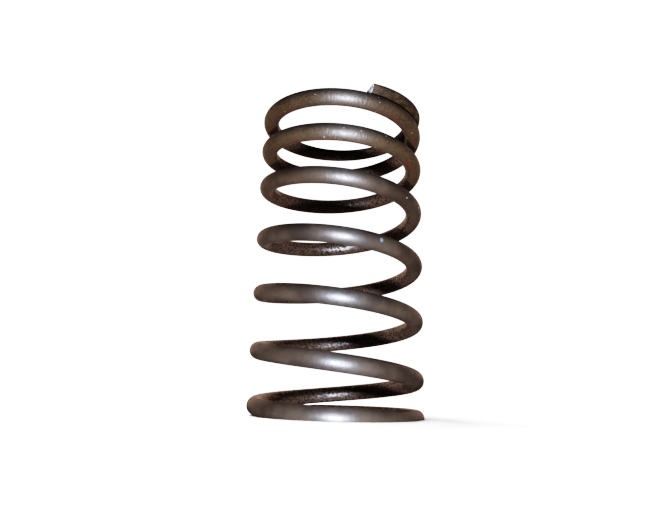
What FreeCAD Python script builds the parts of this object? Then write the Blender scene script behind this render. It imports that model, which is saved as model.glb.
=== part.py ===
import FreeCAD, Part
import math
import os

# Engine valve spring: one length of round wire, coiled left-hand, with two pitches and with both
# end coils closed and ground flat. Millimetres. The axis is Z, the spring stands on its lower
# ground face at Z = 0, and turns are counted downwards from the upper wire tip.

# Overall sizes
outer_diameter = 35.0
wire_diameter = 3.35
free_length = 64.0
total_turns = 7.5

# Winding, in turns from the upper tip and in advance per turn
end_coil_pitch = 7.1
tight_pitch = 8.2
tight_from = 2.0
tight_to = 2.5
wide_from = 2.8
level_turns = 0.25
touch_gap = 0.15

# Ground ends: what the grinding leaves of the wire at each tip, and where the upper tip lies,
# in degrees towards +X from the front of the spring at -Y
upper_tip_thickness = 1.45
lower_tip_thickness = 1.8
upper_tip_angle = 21.0

# Sections along the wire that its surface passes through
sections_per_turn = 16

# Worked out from the sizes above
wire_radius = wire_diameter / 2
coil_radius = (outer_diameter - wire_diameter) / 2
touching_rise = wire_diameter + touch_gap
upper_centre = free_length - upper_tip_thickness + wire_radius
lower_centre = lower_tip_thickness - wire_radius
level_from = total_turns - level_turns


def find_wide_pitch():
    """Pitch of the wide coils, so that the winding fills the free length.

    The last coil closes from this pitch to level over a stretch in proportion to it, so that the
    lower tip comes to lie against the coil above. That makes the drop a quadratic in the pitch.
    """
    first_turn = touching_rise
    easing = (end_coil_pitch + tight_pitch) / 2 * (tight_from - 1.0)
    tight = tight_pitch * (tight_to - tight_from)
    step = wide_from - tight_to
    wanted = upper_centre - lower_centre - first_turn - easing - tight - tight_pitch * step / 2
    linear = level_from - wide_from + step / 2
    square = (1.0 - level_turns) ** 2 / (4 * touching_rise)
    return (linear - math.sqrt(linear ** 2 - 4 * square * wanted)) / (2 * square)


def pitch_stations():
    """Turn and pitch at each change of the winding, with straight ramps between them."""
    wide_pitch = find_wide_pitch()
    tip_pitch = 2 * touching_rise - end_coil_pitch
    closing_turns = wide_pitch * (1.0 - level_turns) ** 2 / (2 * touching_rise)
    return [
        (0.0, tip_pitch),
        (1.0, end_coil_pitch),
        (tight_from, tight_pitch),
        (tight_to, tight_pitch),
        (wide_from, wide_pitch),
        (level_from - closing_turns, wide_pitch),
        (level_from, 0.0),
        (total_turns, 0.0),
    ]


def pitch_and_height(turn, stations):
    """Pitch of the winding and height of the wire's centre at a turn."""
    height = upper_centre
    for (start, start_pitch), (end, end_pitch) in zip(stations, stations[1:]):
        reach = min(turn, end) - start
        slope = (end_pitch - start_pitch) / (end - start)
        height -= start_pitch * reach + slope * reach ** 2 / 2
        if turn <= end:
            break
    return start_pitch + slope * reach, height


def section_frame(turn, stations):
    """Centre of the wire and the outward and upward directions of its round section."""
    pitch, height = pitch_and_height(turn, stations)
    angle = 2 * math.pi * turn + math.radians(upper_tip_angle)
    slope = pitch / (2 * math.pi * coil_radius)
    outward = FreeCAD.Vector(math.sin(angle), -math.cos(angle), 0.0)
    upward = FreeCAD.Vector(slope * math.cos(angle), slope * math.sin(angle), 1.0)
    upward.normalize()
    centre = outward * coil_radius + FreeCAD.Vector(0.0, 0.0, height)
    return centre, outward, upward


def wire_surface():
    """Round surface of the wire: exact circles across it, a smooth curve along it."""
    stations = pitch_stations()
    count = max(8, math.ceil(total_turns * sections_per_turn))
    turns = [total_turns * i / count for i in range(count + 1)]
    frames = [section_frame(turn, stations) for turn in turns]
    square = [(1, 0), (1, 1), (0, 1), (-1, 1), (-1, 0), (-1, -1), (0, -1), (1, -1), (1, 0)]
    poles = []
    for across, along in square:
        row = [c + o * (across * wire_radius) + u * (along * wire_radius) for c, o, u in frames]
        curve = Part.BSplineCurve()
        curve.interpolate(Points=row, Parameters=turns)
        poles.append(curve.getPoles())
    weights = [[1.0 if 0 in corner else math.sqrt(0.5)] * len(poles[0]) for corner in square]
    surface = Part.BSplineSurface()
    surface.buildFromPolesMultsKnots(
        poles,
        [3, 2, 2, 2, 3],
        curve.getMultiplicities(),
        [0.0, 0.25, 0.5, 0.75, 1.0],
        curve.getKnots(),
        False,
        False,
        2,
        curve.Degree,
        weights,
    )
    return surface


def coiled_wire():
    """Whole coiled wire, before its ends are ground, its surface parted at every half turn."""
    surface = wire_surface()
    start, end = surface.bounds()[2:]
    spans = math.ceil(2 * (end - start))
    parting = [min(start + i / 2, end) for i in range(spans + 1)]
    faces = []
    for lower, upper in zip(parting, parting[1:]):
        stretch = surface.copy()
        stretch.segment(0.0, 1.0, lower, upper)
        faces.append(stretch.toShape())
    for parameter in (start, end):
        ring = surface.vIso(parameter).toShape()
        faces.append(Part.Face(Part.Wire([ring])))
    shell = Part.Shell(faces)
    shell.sewShape()
    solid = Part.Solid(shell)
    if solid.Volume < 0:
        solid.reverse()
    return solid


def grind_ends(wire):
    """Cut the end coils flat, square to the axis, at the two seats."""
    reach = outer_diameter
    corner = FreeCAD.Vector(-reach, -reach, 0.0)
    between_seats = Part.makeBox(2 * reach, 2 * reach, free_length, corner)
    return wire.common(between_seats).Solids[0]


def main():
    os.makedirs("parts", exist_ok=True)
    wire = coiled_wire()
    spring = grind_ends(wire)
    spring.exportStep("parts/valve_spring.step")
    box = spring.optimalBoundingBox(False)
    print("wide pitch", round(find_wide_pitch(), 3))
    print("coiled wire valid", wire.isValid(), "volume", round(wire.Volume, 2))
    print("spring valid", spring.isValid(), "volume", round(spring.Volume, 2))
    print("solids", len(spring.Solids), "faces", len(spring.Faces))
    print("size", round(box.XLength, 3), round(box.YLength, 3), round(box.ZLength, 3))


main()
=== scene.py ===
import logging
import math
from dataclasses import dataclass, field, fields
from enum import Enum, IntEnum

import bpy
import numpy as np
from mathutils import Matrix, Vector, noise

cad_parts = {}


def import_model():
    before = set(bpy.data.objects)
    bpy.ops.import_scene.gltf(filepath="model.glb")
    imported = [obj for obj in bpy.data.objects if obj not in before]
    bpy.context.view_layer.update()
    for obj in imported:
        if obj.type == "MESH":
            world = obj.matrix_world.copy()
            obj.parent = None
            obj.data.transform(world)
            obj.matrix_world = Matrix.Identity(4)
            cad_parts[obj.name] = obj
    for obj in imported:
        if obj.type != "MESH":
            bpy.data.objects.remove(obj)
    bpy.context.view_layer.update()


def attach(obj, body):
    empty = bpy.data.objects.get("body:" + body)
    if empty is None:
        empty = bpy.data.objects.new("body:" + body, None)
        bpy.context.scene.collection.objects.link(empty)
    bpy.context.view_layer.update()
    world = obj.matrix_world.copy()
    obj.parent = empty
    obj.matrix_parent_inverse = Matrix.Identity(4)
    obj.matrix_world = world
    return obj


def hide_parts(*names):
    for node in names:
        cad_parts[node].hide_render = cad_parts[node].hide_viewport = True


# Engine valve spring: the looks of the coiled wire round its CAD solid. Lengths in the classes
# below are in millimetres, and they become metres where a mesh, a light or a camera is made.

log = logging.getLogger("valve_spring")

METRES = 0.001
CAD_NODE = "valve_spring"
BODY = "root"
WIRE_PLACE = "wire_place"
BAKE_MAP = "OFBake"
COMBINED_CURVE = 3
TINY = 1e-9

Socket = bpy.types.NodeSocket
Colour = tuple[float, float, float]
Triple = tuple[float, float, float]
Pair = tuple[float, float]


class Finish(IntEnum):
    """Finishes of the wire's faces, in the order of the mesh's material slots."""

    OXIDISED = 0
    GROUND = 1
    SHEARED = 2


class End(Enum):
    """End of the spring, with the sign of its side along the axis."""

    UPPER = 1.0
    LOWER = -1.0


def put_in_scene(name: str, data: bpy.types.ID) -> bpy.types.Object:
    """Makes an object of a mesh, a light or a camera, and puts it in the scene.

    Args:
        name: Name of the object.
        data: What the object shows.

    Returns:
        The object, at the origin.
    """
    thing = bpy.data.objects.new(name, data)
    bpy.context.scene.collection.objects.link(thing)
    return thing


def smooth_step(values: np.ndarray) -> np.ndarray:
    """Eased ramp from 0 to 1.

    Args:
        values: Place along the ramp, 0 at its start and 1 at its end.

    Returns:
        Height of the ramp there.
    """
    share = np.clip(values, 0.0, 1.0)
    return share * share * (3.0 - 2.0 * share)


def with_middles(rings: np.ndarray) -> np.ndarray:
    """Points ring by ring, and then the middles of the first and the last ring.

    Args:
        rings: Points, rings by points by three.

    Returns:
        All points by three.
    """
    middles = [rings[0].mean(axis=0), rings[-1].mean(axis=0)]
    return np.concatenate([rings.reshape(-1, 3), middles])


@dataclass(frozen=True)
class Winding:
    """The winding, with the same sizes and formula as the CAD solid, in millimetres and turns.

    Turns are counted downwards from the upper wire tip.
    """

    outer_diameter: float = 35.0
    wire_diameter: float = 3.35
    free_length: float = 64.0
    total_turns: float = 7.5
    end_coil_pitch: float = 7.1
    tight_pitch: float = 8.2
    tight_from: float = 2.0
    tight_to: float = 2.5
    wide_from: float = 2.8
    level_turns: float = 0.25
    touch_gap: float = 0.15
    upper_tip_thickness: float = 1.45
    lower_tip_thickness: float = 1.8
    upper_tip_angle: float = 21.0

    @property
    def wire_radius(self) -> float:
        """Radius of the wire."""
        return self.wire_diameter / 2

    @property
    def coil_radius(self) -> float:
        """Radius of the helix that the wire's centre follows."""
        return (self.outer_diameter - self.wire_diameter) / 2

    @property
    def turn_length(self) -> float:
        """Length of wire in one level turn."""
        return 2 * math.pi * self.coil_radius

    @property
    def touching_rise(self) -> float:
        """Rise between the centres of a closed coil and the coil it lies against."""
        return self.wire_diameter + self.touch_gap

    @property
    def upper_centre(self) -> float:
        """Height of the wire's centre at the upper tip."""
        return self.free_length - self.upper_tip_thickness + self.wire_radius

    @property
    def lower_centre(self) -> float:
        """Height of the wire's centre at the lower tip."""
        return self.lower_tip_thickness - self.wire_radius

    @property
    def level_from(self) -> float:
        """Turn from which the lower end coil lies level."""
        return self.total_turns - self.level_turns

    def wide_pitch(self) -> float:
        """Pitch of the wide coils, at which the winding fills the free length.

        Returns:
            Advance per turn of the wide coils.
        """
        easing = (self.end_coil_pitch + self.tight_pitch) / 2 * (self.tight_from - 1.0)
        tight = self.tight_pitch * (self.tight_to - self.tight_from)
        step = self.wide_from - self.tight_to
        wanted = self.upper_centre - self.lower_centre - self.touching_rise
        wanted -= easing + tight + self.tight_pitch * step / 2
        linear = self.level_from - self.wide_from + step / 2
        square = (1.0 - self.level_turns) ** 2 / (4 * self.touching_rise)
        return (linear - math.sqrt(linear**2 - 4 * square * wanted)) / (2 * square)

    def pitch_stations(self) -> list[Pair]:
        """Turn and pitch at each change of the winding, with straight ramps between them.

        Returns:
            Pairs of turn and pitch, from the upper tip to the lower one.
        """
        wide = self.wide_pitch()
        closing = wide * (1.0 - self.level_turns) ** 2 / (2 * self.touching_rise)
        return [
            (0.0, 2 * self.touching_rise - self.end_coil_pitch),
            (1.0, self.end_coil_pitch),
            (self.tight_from, self.tight_pitch),
            (self.tight_to, self.tight_pitch),
            (self.wide_from, wide),
            (self.level_from - closing, wide),
            (self.level_from, 0.0),
            (self.total_turns, 0.0),
        ]

    def pitch_and_height(self, turns: np.ndarray) -> tuple[np.ndarray, np.ndarray]:
        """Pitch of the winding and height of the wire's centre.

        Args:
            turns: Turns at which they are wanted.

        Returns:
            The pitches and the heights, one for each turn.
        """
        pitch = np.zeros_like(turns)
        height = np.full_like(turns, self.upper_centre)
        stations = self.pitch_stations()
        for (start, start_pitch), (end, end_pitch) in zip(stations, stations[1:]):
            reach = np.clip(turns, start, end) - start
            slope = (end_pitch - start_pitch) / (end - start)
            height -= start_pitch * reach + slope * reach**2 / 2
            pitch = np.where(turns >= start, start_pitch + slope * reach, pitch)
        return pitch, height

    def sections(self, turns: np.ndarray) -> "Sections":
        """The wire's cross sections.

        Args:
            turns: Turns at which the sections lie.

        Returns:
            Their centres and directions.
        """
        pitch, height = self.pitch_and_height(turns)
        angle = 2 * math.pi * turns + math.radians(self.upper_tip_angle)
        slope = pitch / (2 * math.pi * self.coil_radius)
        flat = np.zeros_like(turns)
        outward = np.stack([np.sin(angle), -np.cos(angle), flat], axis=1)
        ahead = np.stack([np.cos(angle), np.sin(angle), -slope], axis=1)
        ahead /= np.linalg.norm(ahead, axis=1, keepdims=True)
        upward = np.cross(outward, ahead)
        centre = outward * self.coil_radius
        centre[:, 2] = height
        return Sections(turns, centre, outward, upward, ahead)


@dataclass(frozen=True)
class Sections:
    """Cross sections along the wire: one row of each array for each section."""

    turns: np.ndarray
    centre: np.ndarray
    outward: np.ndarray
    upward: np.ndarray
    ahead: np.ndarray

    def taken(self, rows: np.ndarray) -> "Sections":
        """The sections of some rows, in the order given."""
        return Sections(*(getattr(self, part.name)[rows] for part in fields(self)))

    def place(self, across: np.ndarray, up: np.ndarray, along: np.ndarray) -> np.ndarray:
        """Points in space for places in the sections.

        Args:
            across: Places along each section's outward direction, sections by points.
            up: Places along each section's upward direction, sections by points.
            along: Places ahead of each section, along the wire, sections by points.

        Returns:
            Points, sections by points by three.
        """
        points = self.centre[:, None, :] + across[..., None] * self.outward[:, None, :]
        points += up[..., None] * self.upward[:, None, :]
        points += along[..., None] * self.ahead[:, None, :]
        return points


@dataclass(frozen=True)
class Ring:
    """Places round the cross sections, with each section's number of places the same.

    Each array is sections by points: across and up are the places, ground says which points lie
    on a ground face, and rim which ones lie on its edge.
    """

    across: np.ndarray
    up: np.ndarray
    ground: np.ndarray
    rim: np.ndarray


@dataclass
class CoiledWire:
    """The coiled wire with its two ground ends and sheared tips, as one closed mesh.

    Each tip ring is its size, as a share of the tip's face, and how far it stands ahead of the
    last section. Grains are in lumps per millimetre of the straightened wire: outwards, upwards
    and along it. The least ground angle is in degrees.
    """

    winding: Winding = field(default_factory=Winding)
    name: str = "coiled_wire"
    sections: int = 2080
    points_round: int = 44
    ground_points: int = 7
    least_ground_angle: float = 20.0
    settling_turns: float = 0.12
    tip_inset: float = 0.1
    tip_rings: tuple[Pair, ...] = (
        (0.985, 0.06), (0.955, 0.10), (0.86, 0.11), (0.74, 0.11), (0.6, 0.11),
        (0.45, 0.11), (0.3, 0.11), (0.15, 0.11),
    )
    tip_lean: float = 0.035
    tip_tearing: float = 0.06
    tip_grain: float = 1.6
    tip_layer: float = 4.0
    broad_grain: Triple = (0.5, 0.5, 0.16)
    fine_grain: Triple = (1.7, 1.7, 1.3)
    pit_grain: Triple = (1.25, 1.25, 1.05)
    pit_shift: Triple = (9.0, 0.0, 0.0)
    scale_height: float = 0.011
    fine_share: float = 0.45
    outer_fineness: float = 0.4
    pit_depth: float = 0.03
    pit_threshold: float = 0.12
    outer_pitting: float = 0.15
    deepest_pit: float = 0.5
    map_gap: float = 0.8
    map_margin: float = 2.0

    def turns(self) -> np.ndarray:
        """Turns at which the mesh has its sections."""
        inset = self.tip_inset / self.winding.turn_length
        return np.linspace(inset, self.winding.total_turns - inset, self.sections)

    def faced_ring(self, end: End, sections: Sections) -> Ring:
        """Places round the sections, with those next to one end's ground face gathered on it.

        On each side of the wire's top, the first few places lie on the ground face, the next one
        on its edge, and the rest on the round part. Past the grinding they settle to even steps.

        Args:
            end: End whose ground face cuts the sections.
            sections: The wire's cross sections.

        Returns:
            The ring of places, counted from the wire's top round its outer side.
        """
        size, radius, count = self.winding, self.winding.wire_radius, self.points_round
        seat = size.free_length if end is End.UPPER else 0.0
        height = end.value * (seat - sections.centre[:, 2]) / sections.upward[:, 2]
        cut = np.arccos(np.clip(height / radius, -1.0, 1.0))
        reached = np.nonzero(cut > 0)[0]
        last = sections.turns[reached[-1] if end is End.UPPER else reached[0]]
        past = end.value * (sections.turns - last) / self.settling_turns
        settled = smooth_step(past)[:, None]
        index = np.arange(count)
        index = index if end is End.UPPER else count // 2 - index
        index = (index + count // 2) % count - count // 2
        side, step = np.sign(index)[None, :], np.abs(index)[None, :]
        group, half = self.ground_points, count // 2
        even = 2 * math.pi * group / count
        edge = np.maximum(cut, math.radians(self.least_ground_angle))[:, None]
        edge = edge * (1 - settled) + even * settled
        outer_angle = edge + (step - group) / (half - group) * (math.pi - edge)
        share = np.minimum(step / group, 1.0)
        chord = share * radius * np.sin(edge)
        arc = radius * np.sin(share * np.minimum(edge, math.pi / 2))
        inner = chord * (1 - settled) + arc * settled
        level = np.where(cut > 0, height, radius)[:, None]
        crown = np.minimum(np.sqrt(np.maximum(radius**2 - inner**2, 0.0)), level)
        within = step < group
        across = side * np.where(within, inner, radius * np.sin(outer_angle))
        up = end.value * np.where(within, crown, radius * np.cos(outer_angle))
        full = (cut[:, None] >= edge - TINY) & (settled == 0)
        rim = (step == group) & full
        ground = (within & (crown >= level - TINY) & (cut[:, None] > 0)) | rim
        return Ring(across, up, ground, rim)

    def rings(self, sections: Sections) -> Ring:
        """Places round all sections, the upper half of them faced above and the rest below."""
        upper = self.faced_ring(End.UPPER, sections)
        lower = self.faced_ring(End.LOWER, sections)
        first = (sections.turns < self.winding.total_turns / 2)[:, None]
        return Ring(*(np.where(first, getattr(upper, part.name), getattr(lower, part.name))
                      for part in fields(Ring)))

    def noise_at(self, places: np.ndarray) -> np.ndarray:
        """Smooth noise, from -1 to 1, at each of some places."""
        return np.array([noise.noise(place) for place in places.tolist()])

    def relief(self, place: np.ndarray, inward: np.ndarray) -> np.ndarray:
        """Height of the scale and pits on the wire's round surface.

        Args:
            place: Places in the straightened wire, points by three.
            inward: How far each point faces the spring's axis, from 0 to 1.

        Returns:
            Heights, negative in the pits.
        """
        broad = self.noise_at(place * self.broad_grain)
        fine = self.noise_at(place * self.fine_grain)
        pits = self.noise_at(place * self.pit_grain + self.pit_shift)
        scale = broad + self.fine_share * fine * (self.outer_fineness + inward)
        depth = np.maximum(pits - self.pit_threshold, 0.0) * (self.outer_pitting + inward)
        return self.scale_height * scale - self.pit_depth * np.minimum(depth, self.deepest_pit)

    def swell(self, ring: Ring, place: np.ndarray, round_part: np.ndarray) -> np.ndarray:
        """How much further from the wire's centre each point lies, with the relief on it.

        Args:
            ring: The rings of places, tips included.
            place: Places in the straightened wire, rings by points by three.
            round_part: Which points lie on the wire's round surface.

        Returns:
            Factors on the points' places in their sections, 1 off the round surface.
        """
        inward = np.clip(-ring.across / self.winding.wire_radius, 0.0, 1.0)
        height = np.zeros_like(ring.across)
        height[round_part] = self.relief(place[round_part], inward[round_part])
        return 1.0 + height / np.maximum(np.hypot(ring.across, ring.up), TINY)

    def tip_unevenness(self, place: np.ndarray, share: float, end: End) -> np.ndarray:
        """How far a sheared tip's face stands proud of its mean, ahead of the wire.

        Args:
            place: Places on the face, points by two, across and up.
            share: Size of their ring, as a share of the whole face.
            end: End of the spring that the tip is at.

        Returns:
            Heights over the face, positive outwards.
        """
        lean = self.tip_lean * place[:, 0] / self.winding.wire_radius * end.value
        layer = np.full(len(place), self.tip_layer * end.value)
        torn = self.noise_at(np.column_stack([place * self.tip_grain, layer]))
        return (lean + self.tip_tearing * torn) * (1.0 - share**4)

    def capped(self, ring: Ring) -> tuple[np.ndarray, Ring, np.ndarray, np.ndarray]:
        """Carries the ring of places on over both tips' faces.

        Args:
            ring: The ring of places of every section.

        Returns:
            The section of each ring, the rings, how far ahead of its section each point lies,
            and how far each ring lies ahead of its section over the tip's face.
        """
        count, last = len(self.tip_rings), len(ring.across) - 1
        rows = np.concatenate([np.zeros(count, int), np.arange(last + 1), np.full(count, last)])
        across, up = ring.across[rows].copy(), ring.up[rows].copy()
        ahead, reach = np.zeros_like(across), np.zeros(len(rows))
        ends = ((End.UPPER, 0, count - 1, -1), (End.LOWER, last, count + last + 1, 1))
        for end, section, outermost, way in ends:
            face = np.stack([ring.across[section], ring.up[section]], axis=1)
            middle = (face.max(axis=0) + face.min(axis=0)) / 2
            for i, (share, bulge) in enumerate(self.tip_rings):
                row, spots = outermost + way * i, middle + share * (face - middle)
                across[row], up[row] = spots[:, 0], spots[:, 1]
                ahead[row] = way * (bulge + self.tip_unevenness(spots, share, end))
                reach[row] = way * (bulge + (1.0 - share) * self.winding.wire_radius)
        return rows, Ring(across, up, ring.ground[rows], ring.rim[rows]), ahead, reach

    def faces(self, ring: Ring) -> tuple[np.ndarray, np.ndarray, np.ndarray]:
        """Faces over the rings, their corners counted ring by ring.

        Args:
            ring: The rings of places, tips included.

        Returns:
            The four-cornered faces, the three-cornered ones at the middles of the tips, and
            the finish of each face, in that order.
        """
        rings, count, tips = len(ring.across), self.points_round, len(self.tip_rings)
        band, column = np.meshgrid(np.arange(rings - 1), np.arange(count), indexing="ij")
        beside = (column + 1) % count
        corners = [band * count + column, band * count + beside,
                   (band + 1) * count + beside, (band + 1) * count + column]
        quads = np.stack(corners, axis=-1)
        ground = ring.ground.ravel()[quads].all(axis=-1)
        finish = np.where(ground, Finish.GROUND, Finish.OXIDISED)
        finish[:tips] = Finish.SHEARED
        finish[-tips:] = Finish.SHEARED
        around = np.arange(count)
        turned = (around + 1) % count
        middle, base = rings * count, (rings - 1) * count
        upper = np.stack([np.full(count, middle), turned, around], axis=1)
        lower = np.stack([base + around, base + turned, np.full(count, middle + 1)], axis=1)
        fans = np.concatenate([upper, lower])
        finishes = np.concatenate([finish.ravel(), np.full(2 * count, Finish.SHEARED)])
        return quads.reshape(-1, 4), fans, finishes

    def bake_places(self, turns: np.ndarray, reach: np.ndarray) -> np.ndarray:
        """Places of every face corner on the flat map, one row of it for each turn of wire.

        Each tip's face is drawn out at its end of the row, and its middle makes a fan of spikes.

        Args:
            turns: Turn of each ring, tips included.
            reach: How far each ring lies ahead of its section over a tip's face.

        Returns:
            Places from 0 to 1, corners by two, in the order of the faces.
        """
        size, count = self.winding, self.points_round
        girth = math.pi * size.wire_diameter
        margin = self.map_margin + size.wire_radius
        width = size.turn_length + 2 * margin
        row = np.floor((turns[1:] + turns[:-1]) / 2).clip(0, math.ceil(size.total_turns) - 1)
        start = (turns[:-1] - row) * size.turn_length + reach[:-1] + margin
        end = (turns[1:] - row) * size.turn_length + reach[1:] + margin
        low = row[:, None] * (girth + self.map_gap) + np.arange(count)[None, :] * girth / count
        low = low + self.map_gap / 2
        high = low + girth / count
        start = np.broadcast_to(start[:, None], low.shape)
        end = np.broadcast_to(end[:, None], low.shape)
        corners = np.stack([start, low, start, high, end, high, end, low], axis=-1)
        spike = size.wire_radius * self.tip_rings[-1][0]
        fans = []
        for band, way in ((0, -1.0), (-1, 1.0)):
            rim = start[band] if way < 0 else end[band]
            point, middle = rim + way * spike, (low[band] + high[band]) / 2
            ordered = ((point, middle, rim, high[band], rim, low[band]) if way < 0 else
                       (rim, low[band], rim, high[band], point, middle))
            fans.append(np.stack(ordered, axis=-1).reshape(-1, 2))
        return np.concatenate([corners.reshape(-1, 2), *fans]) / width

    def build(self) -> bpy.types.Object:
        """Builds the wire's mesh.

        Returns:
            The wire as an object in metres, with its finishes' slots numbered as in Finish.
        """
        sections = self.winding.sections(self.turns())
        rows, ring, ahead, reach = self.capped(self.rings(sections))
        spread = sections.taken(rows)
        length = spread.turns[:, None] * self.winding.turn_length + ahead
        place = np.stack([ring.across, ring.up, length], axis=-1)
        round_part = ~ring.ground & (np.abs(reach) < TINY)[:, None]
        swell = self.swell(ring, place, round_part)
        points = spread.place(ring.across * swell, ring.up * swell, ahead)
        points[..., 2] = np.clip(points[..., 2], 0.0, self.winding.free_length)
        vertices = with_middles(points) * METRES
        quads, fans, finishes = self.faces(ring)
        mesh = bpy.data.meshes.new(self.name)
        mesh.from_pydata(vertices.tolist(), [], quads.tolist() + fans.tolist())
        mesh.polygons.foreach_set("material_index", finishes.astype(np.int32))
        mesh.polygons.foreach_set("use_smooth", np.ones(len(finishes), bool))
        stored = mesh.attributes.new(WIRE_PLACE, "FLOAT_VECTOR", "POINT")
        stored.data.foreach_set("vector", with_middles(place).astype(np.float32).ravel())
        self.crease(mesh, ring)
        layer = mesh.uv_layers.new(name=BAKE_MAP)
        corners = self.bake_places(spread.turns, reach)
        layer.uv.foreach_set("vector", corners.astype(np.float32).ravel())
        mesh.update()
        return put_in_scene(self.name, mesh)

    def crease(self, mesh: bpy.types.Mesh, ring: Ring) -> None:
        """Marks the edges of the ground faces as sharp.

        Args:
            mesh: The wire's mesh.
            ring: The rings of places, tips included.
        """
        rim = np.concatenate([ring.rim.ravel(), [False, False]])
        ends = np.empty(2 * len(mesh.edges), np.int32)
        mesh.edges.foreach_get("vertices", ends)
        ends = ends.reshape(-1, 2)
        same_column = (ends[:, 0] % self.points_round) == (ends[:, 1] % self.points_round)
        sharp = mesh.attributes.new("sharp_edge", "BOOLEAN", "EDGE")
        sharp.data.foreach_set("value", rim[ends].all(axis=1) & same_column)

    def dress(self, wire: bpy.types.Object, finishes: dict[Finish, bpy.types.Material]) -> None:
        """Gives the wire its materials, in the order of its slots.

        Args:
            wire: The wire's object.
            finishes: Material of each finish.
        """
        for finish in Finish:
            wire.data.materials.append(finishes[finish])


class NodeGraph:
    """Adds, sets and joins the nodes of one material or world."""

    def __init__(self, tree: bpy.types.NodeTree) -> None:
        """Empties the tree, so that it holds only what is added."""
        self.tree = tree
        tree.nodes.clear()

    def feed(self, socket: Socket, value: "Socket | float | tuple") -> None:
        """Links a socket to another, or sets its number, vector or colour.

        Args:
            socket: Input socket of a node.
            value: Output socket that drives it, or its constant value.
        """
        if isinstance(value, bpy.types.NodeSocket):
            self.tree.links.new(value, socket)
        elif isinstance(value, tuple) and socket.type == "RGBA" and len(value) == 3:
            socket.default_value = (*value, 1.0)
        else:
            socket.default_value = value

    def add(self, kind: str, inputs: dict | None = None, **settings: object) -> bpy.types.Node:
        """Adds one node.

        Args:
            kind: Blender's name for the type of node.
            inputs: Values or sockets for its inputs, by name or number.
            **settings: Its own settings.

        Returns:
            The node.
        """
        node = self.tree.nodes.new(kind)
        for name, value in settings.items():
            setattr(node, name, value)
        for key, value in (inputs or {}).items():
            self.feed(node.inputs[key], value)
        return node

    def times(self, first: Socket, second: "Socket | float",
              plus: "Socket | float" = 0.0) -> Socket:
        """Product of two numbers, with a third added to it.

        Args:
            first: Socket with the first number.
            second: Second number.
            plus: What is added to their product.

        Returns:
            Socket with the result.
        """
        inputs = {0: first, 1: second, 2: plus}
        return self.add("ShaderNodeMath", inputs, operation="MULTIPLY_ADD").outputs[0]

    def ramp(self, value: Socket, start: float, end: float, low: float = 0.0,
             high: float = 1.0) -> Socket:
        """Eased ramp of a number.

        Args:
            value: Socket with the number.
            start: Number at which the ramp starts.
            end: Number at which it ends.
            low: Result at the start and before it.
            high: Result at the end and after it.

        Returns:
            Socket with the result.
        """
        inputs = {"Value": value, "From Min": start, "From Max": end, "To Min": low, "To Max": high}
        node = self.add("ShaderNodeMapRange", inputs, interpolation_type="SMOOTHSTEP")
        return node.outputs["Result"]

    def blend(self, share: "Socket | float", first: "Socket | Colour",
              second: "Socket | Colour") -> Socket:
        """Mix of two colours.

        Args:
            share: Share of the second colour.
            first: First colour.
            second: Second colour.

        Returns:
            Socket with the colour.
        """
        inputs = {0: share, 6: first, 7: second}
        return self.add("ShaderNodeMix", inputs, data_type="RGBA").outputs[2]

    def stretch(self, vector: Socket, scale: Triple, shift: Triple = (0.0, 0.0, 0.0)) -> Socket:
        """Vector scaled along each direction, then shifted."""
        inputs = {0: vector, 1: scale, 2: shift}
        return self.add("ShaderNodeVectorMath", inputs, operation="MULTIPLY_ADD").outputs[0]

    def parts(self, vector: Socket) -> bpy.types.bpy_prop_collection:
        """Sockets X, Y and Z with a vector's parts."""
        return self.add("ShaderNodeSeparateXYZ", {0: vector}).outputs

    def wire_place(self) -> Socket:
        """Place on the straightened wire, in millimetres: outwards, upwards and along it."""
        return self.add("ShaderNodeAttribute", attribute_name=WIRE_PLACE).outputs["Vector"]

    def object_place(self) -> Socket:
        """Place in the object's own frame, in metres."""
        return self.add("ShaderNodeTexCoord").outputs["Object"]

    def bump(self, height: Socket, depth: float, strength: float = 1.0) -> Socket:
        """Normal of a surface with relief.

        Args:
            height: Socket with the height, in depths.
            depth: Depth of the relief, in millimetres.
            strength: Share of it that shows.

        Returns:
            Socket with the normal.
        """
        inputs = {"Strength": strength, "Height": height, "Distance": depth * METRES}
        return self.add("ShaderNodeBump", inputs).outputs[0]

    def steel(self, colour: Socket, metallic: float, rough: Socket, normal: Socket,
              more: dict | None = None) -> None:
        """Ends a material with its shader.

        Args:
            colour: Socket with the colour.
            metallic: Share of bare metal.
            rough: Socket with the roughness.
            normal: Socket with the normal.
            more: The shader's other inputs, by name.
        """
        inputs = {"Base Color": colour, "Metallic": metallic, "Roughness": rough, "Normal": normal}
        shader = self.add("ShaderNodeBsdfPrincipled", inputs | (more or {}))
        self.add("ShaderNodeOutputMaterial", {0: shader.outputs[0]})


def new_material(name: str) -> tuple[bpy.types.Material, NodeGraph]:
    """Makes a material without nodes.

    Args:
        name: Name of the material.

    Returns:
        The material and its node graph.
    """
    material = bpy.data.materials.new(name)
    material.use_nodes = True
    return material, NodeGraph(material.node_tree)


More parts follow.
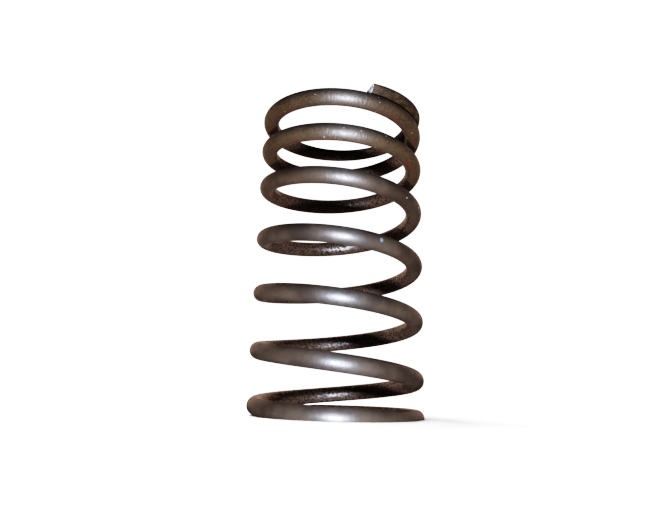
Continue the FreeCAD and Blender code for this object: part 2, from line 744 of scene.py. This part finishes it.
@dataclass(frozen=True)
class Grain:
    """Fractal noise, and the patches where it lies between the two levels start and end.

    The scale is in lumps per unit of place, and a stretch under 1 draws the lumps out.
    """

    scale: float
    detail: float
    roughness: float
    start: float = 0.0
    end: float = 1.0
    stretch: Triple | None = None

    def noise(self, graph: NodeGraph, place: Socket) -> Socket:
        """Noise at a place, around 0.5."""
        spread = graph.stretch(place, self.stretch) if self.stretch else place
        inputs = {"Vector": spread, "Scale": self.scale, "Detail": self.detail,
                  "Roughness": self.roughness}
        return graph.add("ShaderNodeTexNoise", inputs).outputs[0]

    def patches(self, graph: NodeGraph, place: Socket, low: float = 0.0,
                high: float = 1.0) -> Socket:
        """Patches of the noise with soft edges.

        Args:
            graph: The material's nodes.
            place: Socket with the place.
            low: Result between the patches.
            high: Result in their middles.

        Returns:
            Socket with the result.
        """
        return graph.ramp(self.noise(graph, place), self.start, self.end, low, high)


@dataclass(frozen=True)
class Fleck:
    """Small patch of another colour at one place on the straightened wire, in millimetres."""

    place: Triple
    half_round: float
    half_along: float
    colour: Colour
    soft_edge: Pair = (1.2, 0.7)

    def cover(self, graph: NodeGraph, place: Socket, colour: Socket) -> Socket:
        """Covers a colour with the patch.

        Args:
            graph: The material's nodes.
            place: Socket with the place on the wire.
            colour: Socket with the colour under the patch.

        Returns:
            Socket with the colour and the patch on it.
        """
        scale = (1.0 / self.half_round, 1.0 / self.half_round, 1.0 / self.half_along)
        shift = tuple(-p * s for p, s in zip(self.place, scale))
        span = graph.add("ShaderNodeVectorMath", {0: graph.stretch(place, scale, shift)},
                         operation="LENGTH").outputs["Value"]
        return graph.blend(graph.ramp(span, *self.soft_edge), colour, self.colour)


@dataclass(frozen=True)
class Zones:
    """Shares of the wire's zones, each a socket from 0 to 1.

    Inner, under and edge go round the wire: its inner side, its underside and its lower edge.
    Upper and first go along it: the upper coils and the end coil. Rim lies next to the upper
    ground face, where it carries painted shade, and hollow in the patches of pits on the inner side.
    """

    inner: Socket
    under: Socket
    edge: Socket
    upper: Socket
    first: Socket
    rim: Socket
    hollow: Socket


@dataclass(frozen=True)
class OxidisedSteel:
    """Oxide on drawn spring wire: tanner and rustier on the upper coils, pitted on the inside, with
    painted shade along the rim under the upper ground face.

    A span is where a zone starts and where it is full, in millimetres on the wire. The specular
    pair is outside the hollows and in them.
    """

    name: str = "oxidised_spring_wire"
    dark: Colour = (0.078, 0.055, 0.039)
    light: Colour = (0.138, 0.098, 0.068)
    stain: Colour = (0.042, 0.030, 0.022)
    tan: Colour = (0.169, 0.103, 0.051)
    seat: Colour = (0.060, 0.038, 0.022)
    streak: Colour = (0.152, 0.088, 0.041)
    rust: Colour = (0.174, 0.076, 0.046)
    inside: Colour = (0.165, 0.106, 0.074)
    # near black: grime in the pits inside, and painted shade along the rim under the upper ground
    # face
    soot_and_shade: Colour = (0.012, 0.009, 0.007)
    bare: Colour = (0.45, 0.44, 0.43)
    metallic: float = 0.25
    oxide_index: float = 2.15
    specular: Pair = (0.5, 0.05)
    draw_marks: float = 0.6
    draw_turn: float = 0.25
    bump_depth: float = 0.05
    roughness: float = 0.45
    shinier: float = 0.05
    duller: float = 0.06
    inner_roughness: float = -0.16
    upper_roughness: float = 0.04
    first_roughness: float = 0.2
    inner_span: Pair = (0.3, -1.0)
    under_span: Pair = (0.9, -0.9)
    edge_lean: float = 0.35
    edge_span: Pair = (-1.1, -1.55)
    upper_span: Pair = (345.0, 215.0)
    first_span: Pair = (62.0, 30.0)
    rim_span: Pair = (63.5, 63.95)
    chip_span: Pair = (0.05, 0.025)
    chip_scale: float = 0.36
    least_speckle: float = 0.1
    least_stain: float = 0.15
    upper_stain: float = 0.45
    rust_cover: float = 0.75
    inside_cover: float = 0.8
    soot_cover: float = 0.6
    burnt_cover: float = 0.9
    rim_shade_cover: float = 0.85
    ripple_share: float = 0.35
    upper_ripple: float = 0.6
    fine_share: float = 0.35
    drawn_share: float = 0.2
    pit_share: float = 1.6
    broad: Grain = Grain(0.16, 4.0, 0.6, 0.34, 0.66)
    mottle: Grain = Grain(1.3, 4.0, 0.65, 0.36, 0.66)
    speckle: Grain = Grain(2.6, 3.0, 0.65, 0.38, 0.62)
    runs: Grain = Grain(0.5, 3.0, 0.6, 0.46, 0.58, (1.0, 1.0, 0.3))
    streaks: Grain = Grain(1.7, 4.0, 0.65, 0.42, 0.6, (1.0, 1.0, 0.35))
    hollows: Grain = Grain(1.9, 4.0, 0.6, 0.54, 0.40)
    sheen: Grain = Grain(1.3, 3.0, 0.6, 0.3, 0.7)
    drawn: Grain = Grain(7.0, 2.0, 0.5, stretch=(1.0, 1.0, 0.06))
    ripple: Grain = Grain(1.5, 3.0, 0.6, stretch=(0.6, 0.6, 1.7))
    fine: Grain = Grain(4.0, 3.0, 0.6)
    pits: Grain = Grain(3.2, 4.0, 0.7)
    flecks: tuple[Fleck, ...] = (
        Fleck((1.67, 0.09, 399.5), 0.42, 0.32, (0.27, 0.30, 0.38)),
        Fleck((-0.45, -1.6, 191.5), 0.5, 7.5, (0.21, 0.070, 0.036)),
        Fleck((0.26, -1.65, 209.7), 0.35, 1.6, (0.19, 0.068, 0.036)),
        Fleck((1.49, -0.76, 306.4), 0.14, 0.12, (0.8, 0.8, 0.8)),
        Fleck((1.62, -0.43, 311.6), 0.16, 0.14, (0.85, 0.85, 0.85)),
        Fleck((0.35, -1.64, 81.1), 0.12, 0.10, (0.6, 0.58, 0.55)),
        Fleck((-0.09, -1.67, 100.9), 0.12, 0.10, (0.5, 0.47, 0.44)),
        Fleck((0.60, -1.56, 111.9), 0.13, 0.11, (0.6, 0.58, 0.55)),
        Fleck((-0.68, -1.53, 186.5), 0.10, 0.14, (0.6, 0.56, 0.52)),
        Fleck((0.68, -1.53, 190.2), 0.12, 0.12, (0.7, 0.68, 0.66)),
        Fleck((1.68, 0.0, 196.7), 0.12, 0.10, (0.6, 0.6, 0.6)),
        Fleck((-0.09, -1.67, 200.3), 0.12, 0.12, (0.6, 0.58, 0.56)),
        Fleck((1.62, 0.43, 201.5), 0.12, 0.10, (0.6, 0.6, 0.6)),
    )

    def zones(self, graph: NodeGraph, place: Socket) -> Zones:
        """Zones of the wire.

        Args:
            graph: The material's nodes.
            place: Socket with the place on the wire.

        Returns:
            Their shares.
        """
        parts = graph.parts(place)
        lean = graph.times(parts["X"], self.edge_lean, parts["Y"])
        height = graph.parts(graph.object_place())["Z"]
        inner = graph.ramp(parts["X"], *self.inner_span)
        return Zones(
            inner=inner,
            under=graph.ramp(parts["Y"], *self.under_span),
            edge=graph.ramp(lean, *self.edge_span),
            upper=graph.ramp(parts["Z"], *self.upper_span),
            first=graph.ramp(parts["Z"], *self.first_span),
            rim=graph.ramp(height, *(limit * METRES for limit in self.rim_span)),
            hollow=graph.times(self.hollows.patches(graph, place), inner),
        )

    def paint(self, graph: NodeGraph, place: Socket, zones: Zones) -> Socket:
        """Colour of the oxide, its rust and its flecks, with painted shade along the upper rim.

        Args:
            graph: The material's nodes.
            place: Socket with the place on the wire.
            zones: Shares of the zones of the wire.

        Returns:
            Socket with the colour.
        """
        times = graph.times
        colour = graph.blend(self.broad.patches(graph, place), self.dark, self.light)
        deep = times(zones.upper, self.upper_stain, self.least_stain)
        colour = graph.blend(times(self.mottle.patches(graph, place), deep), colour, self.stain)
        speckle = self.speckle.patches(graph, place, self.least_speckle)
        tanned = times(times(speckle, zones.under), zones.upper)
        colour = graph.blend(tanned, colour, self.tan)
        rusty = times(times(self.runs.patches(graph, place), zones.edge), zones.upper)
        colour = graph.blend(times(rusty, self.rust_cover), colour, self.rust)
        colour = graph.blend(times(zones.inner, self.inside_cover), colour, self.inside)
        colour = graph.blend(times(zones.hollow, self.soot_cover), colour, self.soot_and_shade)
        burnt = graph.blend(self.streaks.patches(graph, place), self.seat, self.streak)
        colour = graph.blend(times(zones.first, self.burnt_cover), colour, burnt)
        # painted shade: the oxide next to the upper ground face is darkened to near black, as a top
        # edge that falls dark
        colour = graph.blend(times(zones.rim, self.rim_shade_cover), colour, self.soot_and_shade)
        cells = graph.add("ShaderNodeTexVoronoi", {"Vector": place, "Scale": self.chip_scale})
        chips = graph.ramp(cells.outputs["Distance"], *self.chip_span)
        colour = graph.blend(times(chips, zones.upper), colour, self.bare)
        for fleck in self.flecks:
            colour = fleck.cover(graph, place, colour)
        return colour

    def relief(self, graph: NodeGraph, place: Socket, zones: Zones) -> Socket:
        """Height of the draw marks, of the ripples across the wire and of the pits inside.

        Args:
            graph: The material's nodes.
            place: Socket with the place on the wire.
            zones: Shares of the zones of the wire.

        Returns:
            Socket with the height, about 0 to 1.
        """
        rippled = graph.times(zones.upper, self.upper_ripple, self.ripple_share)
        fine = graph.times(self.fine.noise(graph, place), self.fine_share)
        height = graph.times(self.ripple.noise(graph, place), rippled, fine)
        height = graph.times(self.drawn.noise(graph, place), self.drawn_share, height)
        pitted = graph.times(zones.inner, self.pit_share)
        return graph.times(self.pits.noise(graph, place), pitted, height)

    def dullness(self, graph: NodeGraph, place: Socket, zones: Zones) -> Socket:
        """Roughness of the oxide.

        Args:
            graph: The material's nodes.
            place: Socket with the place on the wire.
            zones: Shares of the zones of the wire.

        Returns:
            Socket with the roughness.
        """
        least, most = self.roughness - self.shinier, self.roughness + self.duller
        rough = self.sheen.patches(graph, place, least, most)
        rough = graph.times(zones.inner, self.inner_roughness, rough)
        rough = graph.times(zones.upper, self.upper_roughness, rough)
        return graph.times(zones.first, self.first_roughness, rough)

    def build(self) -> bpy.types.Material:
        """Builds the material.

        Returns:
            The material, patterned by the wire's own places in millimetres.
        """
        material, graph = new_material(self.name)
        place = graph.wire_place()
        zones = self.zones(graph, place)
        bump = graph.bump(self.relief(graph, place, zones), self.bump_depth)
        along = graph.add("ShaderNodeTangent", direction_type="UV_MAP", uv_map=BAKE_MAP)
        colour = self.paint(graph, place, zones)
        graph.steel(colour, self.metallic, self.dullness(graph, place, zones), bump, {
            "IOR": self.oxide_index,
            "Specular IOR Level": graph.ramp(zones.hollow, 0.0, 1.0, *self.specular),
            "Anisotropic": self.draw_marks,
            "Anisotropic Rotation": self.draw_turn,
            "Tangent": along.outputs[0],
        })
        return material


@dataclass(frozen=True)
class GroundSteel:
    """Ground end face: straight wheel scratches under a thin brown oxide."""

    name: str = "ground_end_face"
    bright: Colour = (0.42, 0.39, 0.36)
    stained: Colour = (0.20, 0.165, 0.135)
    metallic: float = 0.85
    roughness: float = 0.42
    shinier: float = 0.08
    duller: float = 0.12
    scratch_depth: float = 0.008
    scratch_strength: float = 0.8
    scratches: Grain = Grain(1.0, 3.0, 0.6, stretch=(6000.0, 250.0, 1000.0))
    stain: Grain = Grain(0.45, 5.0, 0.65, 0.38, 0.62)

    def build(self) -> bpy.types.Material:
        """Builds the material.

        Returns:
            The material, its scratches straight across the whole end.
        """
        material, graph = new_material(self.name)
        stain = self.stain.patches(graph, graph.wire_place())
        colour = graph.blend(stain, self.bright, self.stained)
        least, most = self.roughness - self.shinier, self.roughness + self.duller
        rough = graph.ramp(stain, 0.0, 1.0, least, most)
        marks = self.scratches.noise(graph, graph.object_place())
        bump = graph.bump(marks, self.scratch_depth, self.scratch_strength)
        graph.steel(colour, self.metallic, rough, bump)
        return material


@dataclass(frozen=True)
class ShearedSteel:
    """Sheared wire tip: bare bright metal, torn in places and dirty on its inner side."""

    name: str = "sheared_tip"
    bright: Colour = (0.82, 0.84, 0.90)
    torn: Colour = (0.22, 0.20, 0.19)
    dirty: Colour = (0.035, 0.026, 0.020)
    dirty_span: Pair = (-0.5, -1.1)
    metallic: float = 0.3
    roughness: float = 0.4
    duller: float = 0.2
    tear_depth: float = 0.03
    tears: Grain = Grain(1.1, 4.0, 0.6, 0.48, 0.64)
    ridges: Grain = Grain(2.2, 4.0, 0.65, stretch=(1.2, 6.0, 1.0))

    def build(self) -> bpy.types.Material:
        """Builds the material.

        Returns:
            The material.
        """
        material, graph = new_material(self.name)
        place = graph.wire_place()
        tear = self.tears.patches(graph, place)
        colour = graph.blend(tear, self.bright, self.torn)
        dirt = graph.ramp(graph.parts(place)["X"], *self.dirty_span)
        colour = graph.blend(dirt, colour, self.dirty)
        rough = graph.ramp(tear, 0.0, 1.0, self.roughness, self.roughness + self.duller)
        bump = graph.bump(self.ridges.noise(graph, place), self.tear_depth)
        graph.steel(colour, self.metallic, rough, bump)
        return material


@dataclass(frozen=True)
class Lamp:
    """One soft lamp of the studio, in millimetres and watts. A matt one shows in no gloss."""

    name: str
    place: Triple
    aim: Triple
    size: float
    power: float
    colour: Colour
    matt: bool = False

    def build(self) -> bpy.types.Object:
        """Builds the lamp as a round area light, out of the camera's sight.

        Returns:
            The lamp.
        """
        data = bpy.data.lights.new(self.name, "AREA")
        data.shape, data.size = "DISK", self.size * METRES
        data.energy, data.color = self.power, self.colour
        lamp = put_in_scene(self.name, data)
        lamp.location = Vector(self.place) * METRES
        way = (Vector(self.aim) - Vector(self.place)).to_track_quat("-Z", "Y")
        lamp.rotation_euler = way.to_euler()
        lamp.visible_camera = False
        lamp.visible_glossy = not self.matt
        return lamp


@dataclass(frozen=True)
class Daylight:
    """Wide soft light from above, which lights the floor alone and so shadows the spring on it."""

    name: str = "floor_daylight"
    strength: float = 3.7
    spread: float = 75.0
    lean: Triple = (12.0, -20.0, 0.0)
    colour: Colour = (1.0, 1.0, 1.0)

    def build(self, floor: bpy.types.Object) -> bpy.types.Object:
        """Builds the light.

        Args:
            floor: The floor, which is all that it lights.

        Returns:
            The light.
        """
        data = bpy.data.lights.new(self.name, "SUN")
        data.energy, data.color = self.strength, self.colour
        data.angle = math.radians(self.spread)
        light = put_in_scene(self.name, data)
        light.rotation_euler = [math.radians(angle) for angle in self.lean]
        lit = bpy.data.collections.new(self.name + "_receiver")
        lit.objects.link(floor)
        light.light_linking.receiver_collection = lit
        return light


@dataclass(frozen=True)
class Studio:
    """Plain pale floor, soft light and the camera."""

    floor_radius: float = 3000.0
    floor_sides: int = 96
    floor_colour: Colour = (0.90, 0.895, 0.89)
    floor_mirrored: Colour = (0.065, 0.05, 0.042)
    front_colour: Colour = (0.003, 0.0026, 0.0025)
    back_colour: Colour = (0.50, 0.37, 0.31)
    back_span: Pair = (0.0, 0.85)
    backdrop_colour: Colour = (1.0, 1.0, 1.0)
    backdrop_strength: float = 1.05
    camera_place: Triple = (1.68238, -109.31359, 5.39473)
    camera_turn: Triple = (0.02284, 0.24898, -0.02567)
    camera_clip: Pair = (5.0, 10000.0)
    lens: float = 28.422
    sensor: float = 36.0
    lamps: tuple[Lamp, ...] = (
        Lamp("key_lamp", (1.7, -110.0, -14.6), (0.0, 0.0, 30.0), 8.0, 0.173, (0.88, 1.035, 1.30)),
        Lamp("back_fill", (-70.0, 110.0, 95.0), (0.0, 0.0, 32.0), 40.0, 0.13, (0.9, 1.0, 1.2), True),
    )
    daylight: Daylight = Daylight()
    tones: tuple[Pair, ...] = (
        (0.03, 0.014), (0.06, 0.05), (0.1, 0.12), (0.2, 0.315), (0.33, 0.54), (0.5, 0.735),
        (0.73, 0.877),
    )

    def build_floor(self) -> bpy.types.Object:
        """Builds the round floor.

        Returns:
            The floor, which lets the lamp below its level through.
        """
        mesh = bpy.data.meshes.new("floor")
        sides, radius = range(self.floor_sides), self.floor_radius * METRES
        turns = [2 * math.pi * i / self.floor_sides for i in sides]
        corners = [(radius * math.cos(turn), radius * math.sin(turn), 0.0) for turn in turns]
        mesh.from_pydata(corners, [], [tuple(sides)])
        floor = put_in_scene("floor", mesh)
        floor.visible_shadow = False
        material, graph = new_material("pale_floor")
        seen = graph.add("ShaderNodeLightPath").outputs["Is Camera Ray"]
        colour = graph.blend(seen, self.floor_mirrored, self.floor_colour)
        matt = graph.add("ShaderNodeBsdfDiffuse", {"Color": colour})
        graph.add("ShaderNodeOutputMaterial", {0: matt.outputs[0]})
        mesh.materials.append(material)
        return floor

    def build_world(self) -> None:
        """Builds the room: white behind the spring, and dim and warm in its reflections."""
        world = bpy.data.worlds.new("studio")
        bpy.context.scene.world = world
        world.use_nodes = True
        graph = NodeGraph(world.node_tree)
        seen = graph.add("ShaderNodeLightPath").outputs["Is Camera Ray"]
        way = graph.add("ShaderNodeTexCoord").outputs["Generated"]
        behind = graph.ramp(graph.parts(way)["Y"], *self.back_span)
        colour = graph.blend(behind, self.front_colour, self.back_colour)
        room = graph.add("ShaderNodeBackground", {"Color": colour})
        white = graph.add("ShaderNodeBackground", {
            "Color": self.backdrop_colour, "Strength": self.backdrop_strength})
        both = graph.add("ShaderNodeMixShader", {0: seen, 1: room.outputs[0], 2: white.outputs[0]})
        graph.add("ShaderNodeOutputWorld", {0: both.outputs[0]})

    def build_camera(self) -> bpy.types.Object:
        """Builds the camera at the photograph's viewing angle.

        Returns:
            The camera, set as the scene's own.
        """
        data = bpy.data.cameras.new("camera")
        data.lens, data.sensor_width = self.lens, self.sensor
        data.clip_start, data.clip_end = (limit * METRES for limit in self.camera_clip)
        camera = put_in_scene("camera", data)
        yaw, pitch, roll = self.camera_turn
        turn = Matrix.Rotation(yaw, 4, "Z") @ Matrix.Rotation(pitch, 4, "X")
        turn = turn @ Matrix.Rotation(roll, 4, "Y") @ Matrix.Rotation(math.pi / 2, 4, "X")
        camera.matrix_world = Matrix.Translation(Vector(self.camera_place) * METRES) @ turn
        bpy.context.scene.camera = camera
        return camera

    def set_tones(self) -> None:
        """Sets how light becomes tones: a contrasty curve, as a small camera's own picture has."""
        view = bpy.context.scene.view_settings
        view.view_transform = "Standard"
        view.use_curve_mapping = True
        mapping = view.curve_mapping
        curve = mapping.curves[COMBINED_CURVE]
        for light, tone in self.tones:
            curve.points.new(light, tone)
        mapping.update()

    def build(self) -> None:
        """Builds the whole studio."""
        self.set_tones()
        self.build_camera()
        floor = self.build_floor()
        self.build_world()
        for lamp in self.lamps:
            lamp.build()
        self.daylight.build(floor)


def main() -> None:
    """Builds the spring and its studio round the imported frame."""
    logging.basicConfig(level=logging.INFO, format="%(name)s: %(message)s")
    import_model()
    Studio().build()
    log.info("studio built")
    spring = CoiledWire()
    wire = spring.build()
    spring.dress(wire, {
        Finish.OXIDISED: OxidisedSteel().build(),
        Finish.GROUND: GroundSteel().build(),
        Finish.SHEARED: ShearedSteel().build(),
    })
    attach(wire, BODY)
    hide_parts(CAD_NODE)
    log.info("%s: %d vertices, %d faces", wire.name, len(wire.data.vertices),
             len(wire.data.polygons))


if __name__ == "__main__":
    main()
